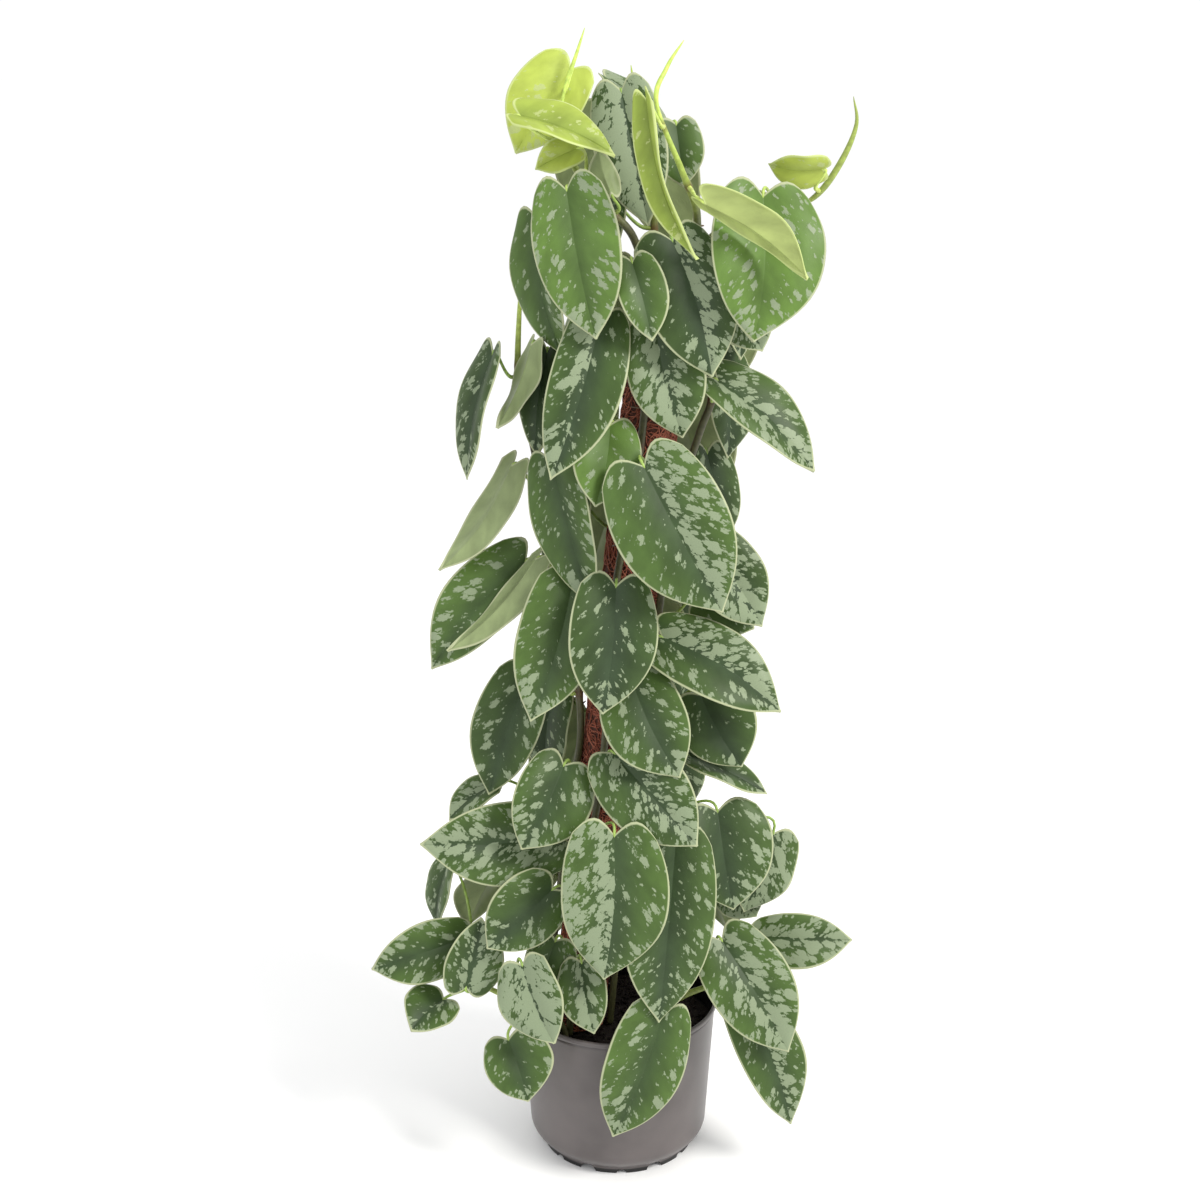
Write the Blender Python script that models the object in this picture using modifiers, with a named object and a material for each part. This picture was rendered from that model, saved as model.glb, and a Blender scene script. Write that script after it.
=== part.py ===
"""Satin pothos climbing a leaning coir pole in a round nursery pot.

Metres, +Z up. The origin is the middle of the pot's underside, and -Y is the front of the plant.
Every leaf is one body: its blade and the leaf stalk that joins it to its vine.
"""

import bmesh
import bpy
import numpy as np
from mathutils import Vector

MM = 0.001
GAP = 0.3

# Driving dimensions, in millimetres
POT_RIM_RADIUS = 91.0
POT_HEIGHT = 143.0
WALL_FOOT_RADIUS = 80.5
CORNER_HEIGHT = 24.0
CORNER_INSET = 10.0
POT_WALL = 1.6
POT_LIP = 1.5
POT_LIP_HEIGHT = 4.5
FLOOR_HEIGHT = 9.0
FOOT_RING = (66.5, 70.5)
FOOT_PAIRS = 7
FOOT_PAIR_AT = -88.0
FOOT_ARCH = (7.0, 6.4)
FOOT_NOTCH = (4.2, 3.2)
DRAIN_HOLES = 6
DRAIN_RADIUS = 6.0
DRAIN_CIRCLE = 38.0
CENTRE_PAD_RADIUS = 14.0

SOIL_TOP = 118.0

STAKE_RADIUS = 10.0
COIR_RADIUS = 25.0
POLE_TOP = 830.0
POLE_FOOT_X = -50.66
POLE_LEAN = 0.11

VINE_RADIUS = 3.2
VINE_TIP_TAPER = 0.35
STALK_WIDTH = 2.6
STALK_RISE = 22.0
BLADE_THICKNESS = 1.3

# Leaf blade proportions, as parts of its length or half-width
LOBE_DEPTH = 0.11
SHOULDER = 0.80
WIDEST_AT = 0.34
ARCH = 0.055
FOLD = 0.16
SHARP_FOLDS = {"leaf_crown_02": 0.4, "leaf_crown_05": 0.35, "leaf_crown_06": 0.8}

# Each vine: (angle round the pole in degrees from the front, height where it leaves the pole,
# then the points of its free end in mm)
VINES = {
    "front": (
        -18,
        790,
        [(10, -34, 835), (-16, -38, 862), (-34, -30, 885), (-45, -27, 908), (-48, -22, 930),
         (-44, -19, 952), (-36, -14, 975), (-29, -10, 996)],
    ),
    "left": (
        -78,
        470,
        [(-46, -10, 540), (-62, 0, 600), (-74, 6, 660), (-85, 4, 710), (-84, 4, 770),
         (-78, 8, 835)],
    ),
    "right": (
        70,
        640,
        [(66, -12, 672), (76, -14, 705), (68, -16, 742), (66, -14, 790), (62, -20, 835),
         (58, -48, 862), (46, -70, 890), (26, -74, 940), (34, -66, 966), (47, -60, 986)],
    ),
    "back": (
        165,
        760,
        [(66, 26, 815), (92, 14, 842), (126, -4, 850), (155, -18, 866), (174, -22, 892),
         (186, -22, 922), (183, -22, 944)],
    ),
    "crown": (
        -150,
        790,
        [(28, 30, 842), (18, 26, 895), (12, 24, 940), (8, 22, 968)],
    ),
}

# Two short shoots that leave over the rim: points in mm
SHOOTS = {
    "shoot_left": [
        (-48, -44, 118.7), (-50, -45, 132), (-58, -52, 150), (-76, -56, 164), (-100, -56, 172),
        (-124, -50, 182), (-142, -38, 198), (-150, -24, 222),
    ],
    "shoot_right": [
        (22, -34, 118.7), (23, -34, 132), (36, -42, 150), (60, -46, 168), (88, -42, 178),
        (112, -32, 190), (128, -18, 206),
    ],
}

# Each leaf: vine, base of the blade, tip of the blade, width, turn about its own midrib.
# Turn 0 shows the upper face to the front, 90 to the right and 180 to the back.
LEAVES = {
    "leaf_crown_01": ("front", (-40, 2, 965), (-85, -12, 900), 60, -10),
    "leaf_crown_02": ("front", (-80, -50, 930), (-5, -56, 900), 44, 50),
    "leaf_crown_03": ("front", (-43, -62, 875), (-20, -78, 760), 70, -8),
    "leaf_crown_04": ("back", (110, -60, 870), (103, -92, 760), 92, 12),
    "leaf_crown_05": ("right", (62, -108, 868), (142, -112, 812), 42, 130),
    "leaf_crown_06": ("right", (20, -98, 940), (57, -100, 824), 26, -45),
    "leaf_crown_07": ("right", (40, -52, 835), (72, -78, 730), 74, 0),
    "leaf_crown_08": ("crown", (0, 6, 948), (22, -20, 843), 60, -5),
    "leaf_crown_09": ("crown", (45, 25, 922), (52, 15, 872), 44, 10),
    "leaf_upper_01": ("left", (-67, -24, 850), (-48, -42, 742), 60, -45),
    "leaf_upper_02": ("left", (-105, -15, 740), (-128, -25, 635), 50, -62),
    "leaf_upper_03": ("front", (-17, -55, 772), (-57, -84, 648), 61, -8),
    "leaf_upper_04": ("right", (27, -50, 767), (50, -62, 678), 64, 5),
    "leaf_upper_05": ("right", (78, -40, 722), (158, -60, 650), 56, 40),
    "leaf_upper_06": ("front", (-9, -54, 688), (-21, -83, 626), 57, 4),
    "leaf_upper_07": ("right", (18, -84, 660), (82, -110, 545), 94, 5),
    "leaf_upper_08": ("left", (-90, -14, 646), (-152, -38, 560), 44, 130),
    "leaf_upper_09": ("left", (-56, -46, 655), (-25, -73, 541), 62, -34),
    "leaf_middle_01": ("left", (-80, -10, 562), (-162, -30, 470), 62, -15),
    "leaf_middle_02": ("left", (-70, -34, 570), (-145, -58, 495), 36, 125),
    "leaf_middle_03": ("front", (-40, -54, 553), (-75, -92, 445), 68, -12),
    "leaf_middle_04": ("front", (-4, -79, 559), (-15, -99, 454), 74, 5),
    "leaf_middle_05": ("right", (68, -28, 585), (120, -45, 513), 62, 15),
    "leaf_middle_06": ("right", (35, -48, 505), (135, -76, 448), 66, 32),
    "leaf_middle_07": ("front", (10, -58, 470), (50, -92, 395), 72, 0),
    "leaf_middle_08": ("left", (-80, -18, 460), (-114, -40, 358), 62, -20),
    "leaf_middle_09": ("right", (70, -22, 445), (106, -42, 385), 68, 12),
    "leaf_lower_01": ("left", (-48, -54, 392), (-84, -88, 328), 68, -5),
    "leaf_lower_02": ("front", (-5, -62, 406), (65, -104, 338), 74, 8),
    "leaf_lower_03": ("left", (-52, -36, 318), (-172, -70, 325), 74, -20),
    "leaf_lower_04": ("front", (-5, -97, 348), (-14, -112, 218), 92, -5),
    "leaf_lower_05": ("right", (48, -68, 325), (34, -104, 172), 82, 8),
    "leaf_lower_06": ("right", (86, -32, 340), (100, -60, 258), 86, 16),
    "leaf_lower_07": ("front", (-58, -68, 282), (-115, -88, 235), 62, -8),
    "leaf_skirt_01": ("shoot_right", (128, -22, 212), (210, -30, 214), 50, 26),
    "leaf_skirt_02": ("shoot_right", (90, -62, 230), (148, -98, 140), 74, 12),
    "leaf_skirt_03": ("shoot_right", (110, -60, 165), (154, -82, 58), 58, 18),
    "leaf_skirt_04": ("shoot_right", (38, -95, 178), (-6, -111, 64), 70, 0),
    "leaf_skirt_05": ("shoot_left", (-84, -92, 222), (-56, -118, 160), 60, -12),
    "leaf_skirt_06": ("shoot_left", (-138, -40, 221), (-219, -62, 201), 54, -12),
    "leaf_skirt_07": ("shoot_left", (-135, -74, 190), (-120, -70, 256), 52, -10),
    "leaf_skirt_08": ("shoot_left", (-156, -58, 170), (-182, -92, 158), 48, -45),
    "leaf_skirt_09": ("shoot_left", (-98, -80, 143), (-80, -106, 96), 62, 0),
}

# Leaves behind the pole, set out by rule
BACK_LEAVES = 6
BACK_LOWEST = 300.0
BACK_HIGHEST = 800.0
BACK_REACH = 74.0
BACK_SPREAD = 42.0
BACK_LENGTH = 118.0
BACK_WIDTH = 80.0


def pole_x(z):
    """Middle of the leaning pole at height z: a straight line."""
    return POLE_FOOT_X + POLE_LEAN * z


def new_collection(name):
    collection = bpy.data.collections.new(name)
    bpy.context.scene.collection.children.link(collection)
    return collection


def material(name, colour, roughness, metallic=0.0):
    found = bpy.data.materials.get(name)
    if found:
        return found
    made = bpy.data.materials.new(name)
    made.use_nodes = True
    shader = made.node_tree.nodes["Principled BSDF"]
    shader.inputs["Base Color"].default_value = (*colour, 1.0)
    shader.inputs["Roughness"].default_value = roughness
    shader.inputs["Metallic"].default_value = metallic
    return made


def add_object(name, data, collection, finish):
    obj = bpy.data.objects.new(name, data)
    collection.objects.link(obj)
    if finish:
        data.materials.append(finish)
    return obj


def turned(name, profile, steps, collection, finish):
    """A closed profile of (radius, height) in mm, turned round the Z axis."""
    mesh = bpy.data.meshes.new(name)
    points = [(r * MM, 0.0, z * MM) for r, z in profile]
    pairs = [(i, (i + 1) % len(points)) for i in range(len(points))]
    off_axis = [pair for pair in pairs if max(profile[pair[0]][0], profile[pair[1]][0]) > 0]
    mesh.from_pydata(points, off_axis, [])
    obj = add_object(name, mesh, collection, finish)
    screw = obj.modifiers.new("turn", "SCREW")
    screw.steps = screw.render_steps = steps
    screw.use_merge_vertices = True
    screw.merge_threshold = 0.00005
    return obj


def hide_cutter(obj):
    obj.hide_render = True
    obj.display_type = "WIRE"


def cut(obj, cutter):
    boolean = obj.modifiers.new("cut", "BOOLEAN")
    boolean.operation = "DIFFERENCE"
    boolean.solver = "EXACT"
    boolean.object = cutter


def wall_radius(z):
    """Outer radius of the pot wall at height z: a straight taper less a rounded corner at the bottom."""
    straight = WALL_FOOT_RADIUS + (POT_RIM_RADIUS - POT_LIP - WALL_FOOT_RADIUS) * z / POT_HEIGHT
    return straight - CORNER_INSET * max(0.0, 1 - z / CORNER_HEIGHT) ** 2


def inner_radius(z):
    """Inner radius of the pot wall at height z."""
    return wall_radius(z) - POT_WALL


def make_pot(parts, cutters):
    """Thin tapered shell with a thicker lip, a foot ring cut into pairs of feet, and a drained floor."""
    finish = material("taupe_polypropylene", (0.19, 0.165, 0.16), 0.5)
    lip_bottom = POT_HEIGHT - POT_LIP_HEIGHT
    profile = [
        (inner_radius(POT_HEIGHT), POT_HEIGHT),
        (POT_RIM_RADIUS - 0.8, POT_HEIGHT),
        (POT_RIM_RADIUS, POT_HEIGHT - 1.0),
        (POT_RIM_RADIUS - 0.4, lip_bottom),
        (wall_radius(lip_bottom), lip_bottom),
        *[(wall_radius(z), z) for z in (CORNER_HEIGHT, 16.0, 10.0, 5.0, 1.2)],
        (FOOT_RING[1], 0.0),
        (FOOT_RING[0], 0.0),
        (wall_radius(FLOOR_HEIGHT - POT_WALL) - 3.2, FLOOR_HEIGHT - POT_WALL),
        (CENTRE_PAD_RADIUS, FLOOR_HEIGHT - POT_WALL),
        (CENTRE_PAD_RADIUS, 0.0),
        (0.0, 0.0),
        (0.0, FLOOR_HEIGHT),
        (inner_radius(FLOOR_HEIGHT) - 1.0, FLOOR_HEIGHT),
        *[(inner_radius(z), z) for z in (FLOOR_HEIGHT + 2.0, 16.0, CORNER_HEIGHT)],
    ]
    pot = turned("nursery_pot", profile, 56, parts, finish)

    mesh = bpy.data.meshes.new("pot_cutter")
    bm = bmesh.new()
    for k in range(2 * FOOT_PAIRS):
        half_width, height = FOOT_ARCH if k % 2 else FOOT_NOTCH
        angle = np.radians(FOOT_PAIR_AT) + np.pi * k / FOOT_PAIRS
        middle = Vector((np.cos(angle), np.sin(angle), 0)) * (sum(FOOT_RING) / 2 * MM)
        turn = middle.to_track_quat("Z", "Y").to_matrix().to_4x4()
        turn.translation = middle
        arch = bmesh.ops.create_cone(
            bm, cap_ends=True, segments=12, radius1=half_width * MM, radius2=half_width * MM,
            depth=24 * MM, matrix=turn,
        )
        bmesh.ops.scale(bm, vec=(1, 1, height / half_width), verts=arch["verts"])
    for k in range(DRAIN_HOLES):
        angle = 2 * np.pi * k / DRAIN_HOLES
        place = Vector((np.cos(angle), np.sin(angle), 0)) * (DRAIN_CIRCLE * MM)
        drilled = bmesh.ops.create_cone(
            bm, cap_ends=True, segments=12, radius1=DRAIN_RADIUS * MM,
            radius2=DRAIN_RADIUS * MM, depth=30 * MM,
        )
        bmesh.ops.translate(bm, vec=place, verts=drilled["verts"])
    bm.to_mesh(mesh)
    bm.free()
    cutter = add_object("pot_cutter", mesh, cutters, None)
    hide_cutter(cutter)
    cut(pot, cutter)


def leaning_tube(name, outer, inner, bottom, top, steps, collection, finish):
    """A round bar or tube that follows the pole's lean, with level ends."""
    if inner > 0:
        profile = [(inner, top), (outer, top), (outer, bottom), (inner, bottom)]
    else:
        profile = [(0.0, top), (outer, top), (outer, bottom), (0.0, bottom)]
    obj = turned(name, profile, steps, collection, finish)
    graph = bpy.context.evaluated_depsgraph_get()
    mesh = bpy.data.meshes.new_from_object(obj.evaluated_get(graph))
    obj.modifiers.clear()
    obj.data = mesh
    for vertex in mesh.vertices:
        vertex.co.x += pole_x(vertex.co.z / MM) * MM
    return obj


def make_soil_and_pole(parts, cutters):
    soil_finish = material("peat_soil", (0.02, 0.013, 0.009), 0.95)
    bottom = FLOOR_HEIGHT + GAP
    profile = [
        (0.0, SOIL_TOP), (inner_radius(SOIL_TOP) - GAP, SOIL_TOP),
        (inner_radius(bottom + 2.0) - GAP, bottom + 2.0),
        (inner_radius(bottom) - GAP - 1.2, bottom), (0.0, bottom),
    ]
    soil = turned("potting_soil", profile, 40, parts, soil_finish)
    hole = leaning_tube(
        "stake_hole", STAKE_RADIUS + GAP, 0, FLOOR_HEIGHT - 5, SOIL_TOP + 10, 20, cutters, None
    )
    hide_cutter(hole)
    cut(soil, hole)

    wood = material("softwood_stake", (0.42, 0.29, 0.17), 0.8)
    coir = material("coconut_coir", (0.25, 0.07, 0.03), 0.95)
    leaning_tube("pole_stake", STAKE_RADIUS, 0, bottom, POLE_TOP, 20, parts, wood)
    leaning_tube(
        "coir_wrap", COIR_RADIUS, STAKE_RADIUS + GAP, SOIL_TOP + GAP, POLE_TOP - 6, 24, parts, coir
    )


def smooth_path(points, count):
    """Catmull-Rom curve through the points, read at equal steps of its length."""
    points = np.asarray(points, float)
    padded = np.vstack([2 * points[0] - points[1], points, 2 * points[-1] - points[-2]])
    t = np.linspace(0, 1, 12, endpoint=False)[:, None]
    pieces = []
    for a, b, c, d in zip(padded, padded[1:], padded[2:], padded[3:]):
        pieces.append(
            0.5 * (2 * b + (c - a) * t + (2 * a - 5 * b + 4 * c - d) * t**2
                   + (3 * b - a - 3 * c + d) * t**3)
        )
    dense = np.vstack(pieces + [points[-1:]])
    run = np.r_[0, np.cumsum(np.linalg.norm(np.diff(dense, axis=0), axis=1))]
    want = np.linspace(0, run[-1], count)
    return np.column_stack([np.interp(want, run, dense[:, k]) for k in range(3)])


def climbing_points(angle, top):
    """Points of a vine that climbs the pole, weaving a little from side to side."""
    radius = COIR_RADIUS + VINE_RADIUS + 2.5
    heights = np.arange(SOIL_TOP + 0.6, top, 60.0)
    weave = np.radians(angle + 7 * np.sin(heights / 48.0))
    return [
        (pole_x(z) + radius * np.sin(a), -radius * np.cos(a), z) for z, a in zip(heights, weave)
    ]


def vine_paths():
    paths = {
        name: smooth_path(climbing_points(angle, top) + end, 34)
        for name, (angle, top, end) in VINES.items()
    }
    for name, points in SHOOTS.items():
        paths[name] = smooth_path(points, 16)
    return paths


def vine_taper(path, k):
    """Thickness of a vine at its k-th point, as a part of VINE_RADIUS: thinner near its tip."""
    return min(1.0, VINE_TIP_TAPER + (len(path) - 1 - k) / 6)


def make_vine(name, path, parts):
    finish = material("vine_stem", (0.09, 0.12, 0.04), 0.55)
    curve = bpy.data.curves.new(name, "CURVE")
    curve.dimensions = "3D"
    curve.bevel_depth = VINE_RADIUS * MM
    curve.bevel_resolution = 2
    curve.use_fill_caps = True
    spline = curve.splines.new("POLY")
    spline.points.add(len(path) - 1)
    for k, point in enumerate(path):
        spline.points[k].co = (*(point * MM), 1)
        spline.points[k].radius = vine_taper(path, k)
    add_object(name, curve, parts, finish)


def unit(vector):
    return vector / np.linalg.norm(vector)


def leaf_axes(base, tip, turn):
    """Length, width and upper-face directions of a blade."""
    along = unit(tip - base)
    front = np.array([0.0, -1.0, 0.0])
    facing = unit(front - along * (front @ along))
    side = np.cross(facing, along)
    angle = np.radians(turn)
    normal = facing * np.cos(angle) + side * np.sin(angle)
    return along, np.cross(along, normal), normal


def half_width(s):
    """Half-width of the blade as a part of its greatest: round shoulders, drawn-out tip."""
    s = np.asarray(s, float)
    t = np.clip((s - WIDEST_AT) / (1 - WIDEST_AT), 0, 1)
    below = 1 - (1 - SHOULDER) * (np.clip(WIDEST_AT - s, 0, 1) / WIDEST_AT) ** 2
    return np.where(s < WIDEST_AT, below, (1 - t**2.2) * (1 - 0.3 * t**8))


def blade_point(s, v, length, width, fold):
    """Heart-shaped blade: s runs from the stalk to the tip, v from edge to edge."""
    across = v * half_width(s) * width / 2
    lobe = LOBE_DEPTH * np.sin(np.pi * abs(v)) * (1 - s) ** 2.5
    along = length * (s - lobe)
    rise = ARCH * length * np.sin(np.pi * s) + fold * (abs(across) - 0.12 * width * v**4)
    return across, along, rise


def stalk_path(base, along, vine_path, count):
    """Stalk from the blade's base, up and over in a bow, down to the side of the vine."""
    wanted = base - np.array([0, 0, STALK_RISE])
    near = int(np.argmin(np.linalg.norm(vine_path[1:-2] - wanted, axis=1))) + 1
    node = vine_path[near]
    run = unit(vine_path[near + 1] - vine_path[near - 1])
    out = base - node
    out = unit(out - run * (out @ run))
    foot = node + out * (VINE_RADIUS * vine_taper(vine_path, near) + GAP)
    landing = foot + out * 3.0
    reach = np.linalg.norm(base - landing)
    b0, b1, b2, b3 = base, base - along * 0.35 * reach, landing + out * 0.35 * reach, landing
    t = np.linspace(0, 1, count)[1:, None]
    bow = b0 * (1 - t) ** 3 + 3 * b1 * t * (1 - t) ** 2 + 3 * b2 * t**2 * (1 - t) + b3 * t**3
    return np.vstack([bow, foot])


def make_leaf(name, vine_path, base, tip, width, turn, parts):
    """Open surface of blade and stalk, then thickened: the stalk carries on the midrib's strip."""
    base, tip = np.array(base, float), np.array(tip, float)
    along, across, normal = leaf_axes(base, tip, turn)
    length = np.linalg.norm(tip - base)
    fold = SHARP_FOLDS.get(name, FOLD)
    rows = (0.0, 0.16, 0.38, 0.62, 0.84)
    verts, faces = [], []
    for s in rows:
        rib = min(1.0, STALK_WIDTH / (half_width(s) * width))
        for v in (-1, -0.55, -rib, rib, 0.55, 1):
            x, y, z = blade_point(s, v, length, width, fold)
            verts.append(base + across * x + along * y + normal * z)
    for r in range(len(rows) - 1):
        for c in range(5):
            a = 6 * r + c
            faces.append((a, a + 1, a + 7, a + 6))
    verts.append(tip)
    last = 6 * (len(rows) - 1)
    faces += [(last + c, last + c + 1, len(verts) - 1) for c in range(5)]
    blade_count = len(verts)

    side = across
    previous = (2, 3)
    before = base
    for point in stalk_path(base, along, vine_path, 4):
        run = unit(point - before)
        side = unit(side - run * (side @ run))
        verts += [point - side * STALK_WIDTH / 2, point + side * STALK_WIDTH / 2]
        new = (len(verts) - 2, len(verts) - 1)
        faces.append((previous[1], previous[0], new[0], new[1]))
        previous, before = new, point

    mesh = bpy.data.meshes.new(name)
    mesh.from_pydata([tuple(p * MM) for p in verts], [], faces)
    obj = add_object(name, mesh, parts, material("leaf_tissue", (0.07, 0.16, 0.05), 0.4))
    group = obj.vertex_groups.new(name="thickness")
    group.add(list(range(blade_count)), BLADE_THICKNESS / STALK_WIDTH, "REPLACE")
    group.add(list(range(blade_count, len(verts))), 1.0, "REPLACE")
    solid = obj.modifiers.new("thickness", "SOLIDIFY")
    solid.thickness = STALK_WIDTH * MM
    solid.offset = 0.0
    solid.vertex_group = "thickness"


def back_leaf(k):
    """The k-th leaf behind the pole: alternate sides, evenly spaced in height."""
    z = BACK_LOWEST + (BACK_HIGHEST - BACK_LOWEST) * k / (BACK_LEAVES - 1)
    side = -1 if k % 2 else 1
    base = (pole_x(z) + side * BACK_SPREAD * 0.5, BACK_REACH - 18, z)
    tip = (base[0] + side * 30, BACK_REACH, z - BACK_LENGTH)
    return base, tip, BACK_WIDTH, 180 - side * 18


def main():
    for obj in list(bpy.data.objects):
        bpy.data.objects.remove(obj, do_unlink=True)
    parts = new_collection("satin_pothos")
    cutters = new_collection("cutters")
    make_pot(parts, cutters)
    make_soil_and_pole(parts, cutters)
    paths = vine_paths()
    for name, path in paths.items():
        make_vine(name if name in SHOOTS else "vine_" + name, path, parts)
    for name, (vine, base, tip, width, turn) in LEAVES.items():
        make_leaf(name, paths[vine], base, tip, width, turn, parts)
    for k in range(BACK_LEAVES):
        make_leaf(f"leaf_rear_{k + 1:02d}", paths["back"], *back_leaf(k), parts)


main()
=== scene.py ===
"""Satin pothos on a leaning coir pole in its nursery pot. Metres, +Z up, -Y is the front of the plant."""

import bmesh
import bpy
import numpy as np
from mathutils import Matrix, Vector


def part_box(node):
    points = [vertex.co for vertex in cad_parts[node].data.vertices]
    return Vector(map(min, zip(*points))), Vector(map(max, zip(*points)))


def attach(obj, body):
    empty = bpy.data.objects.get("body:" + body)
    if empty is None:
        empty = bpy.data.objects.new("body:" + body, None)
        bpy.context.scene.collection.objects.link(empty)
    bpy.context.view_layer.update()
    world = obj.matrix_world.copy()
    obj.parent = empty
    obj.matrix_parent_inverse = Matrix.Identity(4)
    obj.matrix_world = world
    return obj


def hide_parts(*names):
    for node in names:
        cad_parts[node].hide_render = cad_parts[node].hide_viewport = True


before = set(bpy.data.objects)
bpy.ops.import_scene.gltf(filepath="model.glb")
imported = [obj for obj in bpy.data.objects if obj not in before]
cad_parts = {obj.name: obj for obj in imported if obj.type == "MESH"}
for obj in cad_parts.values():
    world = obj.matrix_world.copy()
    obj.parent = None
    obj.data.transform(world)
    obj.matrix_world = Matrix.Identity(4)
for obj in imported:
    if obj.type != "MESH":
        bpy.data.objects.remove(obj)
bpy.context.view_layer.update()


# Nursery pot. The real one is thin moulded polypropylene, taupe outside and black inside, with a small
# rolled lip, feet in pairs and drain holes. It carries the compost and rests on the floor on its feet.
MM = 0.001
POT_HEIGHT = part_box("nursery_pot")[1].z / MM
RIM_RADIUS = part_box("nursery_pot")[1].x / MM
WALL_FOOT_RADIUS = 80.5
FOOT_HEIGHT = 6.0
CORNER_TOP = 22.0
CORNER_INSET = 10.3
POT_WALL = 1.6
LIP = 1.5
LIP_HEIGHT = 4.5
POT_FLOOR = 9.0
FOOT_RING = (67.6, 70.2)
FOOT_PAIRS = 7
FOOT_PAIR_AT = -88.0
FOOT_ARCH = (5.9, 6.6)
FOOT_NOTCH = (3.6, 3.4)
# Painted shade at the foot of the feet: the outer wall is black below the first height and taupe above the
# second.
FOOT_SHADE_BAND = (3.6, 4.8)
DRAIN_HOLES = 6
DRAIN_RADIUS = 6.0
DRAIN_CIRCLE = 38.0
DRILL_LENGTH = 30.0
PAD_RADIUS = 14.0
POT_TURNS = 420


def linear(code):
    """Linear RGBA of an sRGB hex colour."""
    parts = np.array([int(code[k:k + 2], 16) for k in (1, 3, 5)]) / 255
    low, high = parts / 12.92, ((parts + 0.055) / 1.055) ** 2.4
    return (*np.where(parts <= 0.04045, low, high), 1.0)


def add(tree, kind, inputs=(), out=0, stops=(), **settings):
    """Adds a node, sets its settings, links or sets its inputs, and returns one of its outputs. stops are
    the places and hex colours of a colour ramp."""
    made = tree.nodes.new(kind)
    for k, (place, code) in enumerate(stops):
        if k > 1:
            made.color_ramp.elements.new(place)
        made.color_ramp.elements[k].position = place
        made.color_ramp.elements[k].color = linear(code)
    for key, value in settings.items():
        setattr(made, key, value)
    for key, value in dict(inputs).items():
        if isinstance(value, bpy.types.NodeSocket):
            tree.links.new(value, made.inputs[key])
        else:
            made.inputs[key].default_value = value
    return made.outputs[out]


def new_finish(name, **constants):
    """A material with a Principled shader, whose constant sockets are set here, and its node tree."""
    finish = bpy.data.materials.new(name)
    finish.use_nodes = True
    for key, value in constants.items():
        socket = finish.node_tree.nodes["Principled BSDF"].inputs[key.replace("_", " ")]
        socket.default_value = value
    return finish, finish.node_tree


def dressed(finish, colour, relief, strength, distance):
    """Gives a finish its colour and its relief, whose distance is in metres, and returns it."""
    tree = finish.node_tree
    bump = add(tree, "ShaderNodeBump", {"Height": relief, "Strength": strength, "Distance": distance})
    shader = tree.nodes["Principled BSDF"]
    tree.links.new(colour, shader.inputs["Base Color"])
    tree.links.new(bump, shader.inputs["Normal"])
    return finish


def grid_faces(rows, columns, round_columns=False, start=0):
    """Quads of a grid of points numbered row by row. Round columns join the last column to the first."""
    r = np.arange(rows - 1)[:, None]
    c = np.arange(columns if round_columns else columns - 1)[None, :]
    d = (c + 1) % columns
    corners = [r * columns + c, r * columns + d, (r + 1) * columns + d, (r + 1) * columns + c]
    return np.stack([np.broadcast_to(k, (rows - 1, c.size)) for k in corners], -1).reshape(-1, 4) + start


def make_piece(name, points, faces, finishes, slot, nodes=(), values=None, flat_map=None, finish_of=None):
    """One object at the origin from points in mm. values are named numbers at the points, flat_map a
    place on the pattern for each point, and finish_of the number of each face's finish."""
    mesh = bpy.data.meshes.new(name)
    mesh.from_pydata((points * MM).tolist(), [], [f for group in faces for f in group.tolist()])
    mesh.shade_smooth()
    for finish in finishes:
        mesh.materials.append(finish)
    if finish_of is not None:
        mesh.polygons.foreach_set("material_index", finish_of.astype(np.int32))
    for key, value in (values or {}).items():
        mesh.attributes.new(key, "FLOAT", "POINT").data.foreach_set("value", value.astype(np.float32))
    if flat_map is not None:
        corner = np.empty(len(mesh.loops), np.int32)
        mesh.loops.foreach_get("vertex_index", corner)
        places = flat_map[corner].astype(np.float32)
        mesh.uv_layers.new(name="pattern").uv.foreach_set("vector", places.ravel())
    obj = bpy.data.objects.new(name, mesh)
    bpy.context.scene.collection.objects.link(obj)
    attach(obj, "root")
    if nodes:
        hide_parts(*nodes)
    return obj


def pot_wall(z):
    """Outer radius of the wall at height z: a straight taper, less the square of how far z is below the
    top of the rounded corner. The feet under the corner are upright."""
    straight = WALL_FOOT_RADIUS + (RIM_RADIUS - LIP - WALL_FOOT_RADIUS) * z / POT_HEIGHT
    return straight - CORNER_INSET * np.clip((CORNER_TOP - z) / (CORNER_TOP - FOOT_HEIGHT), 0, 1) ** 2


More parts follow.
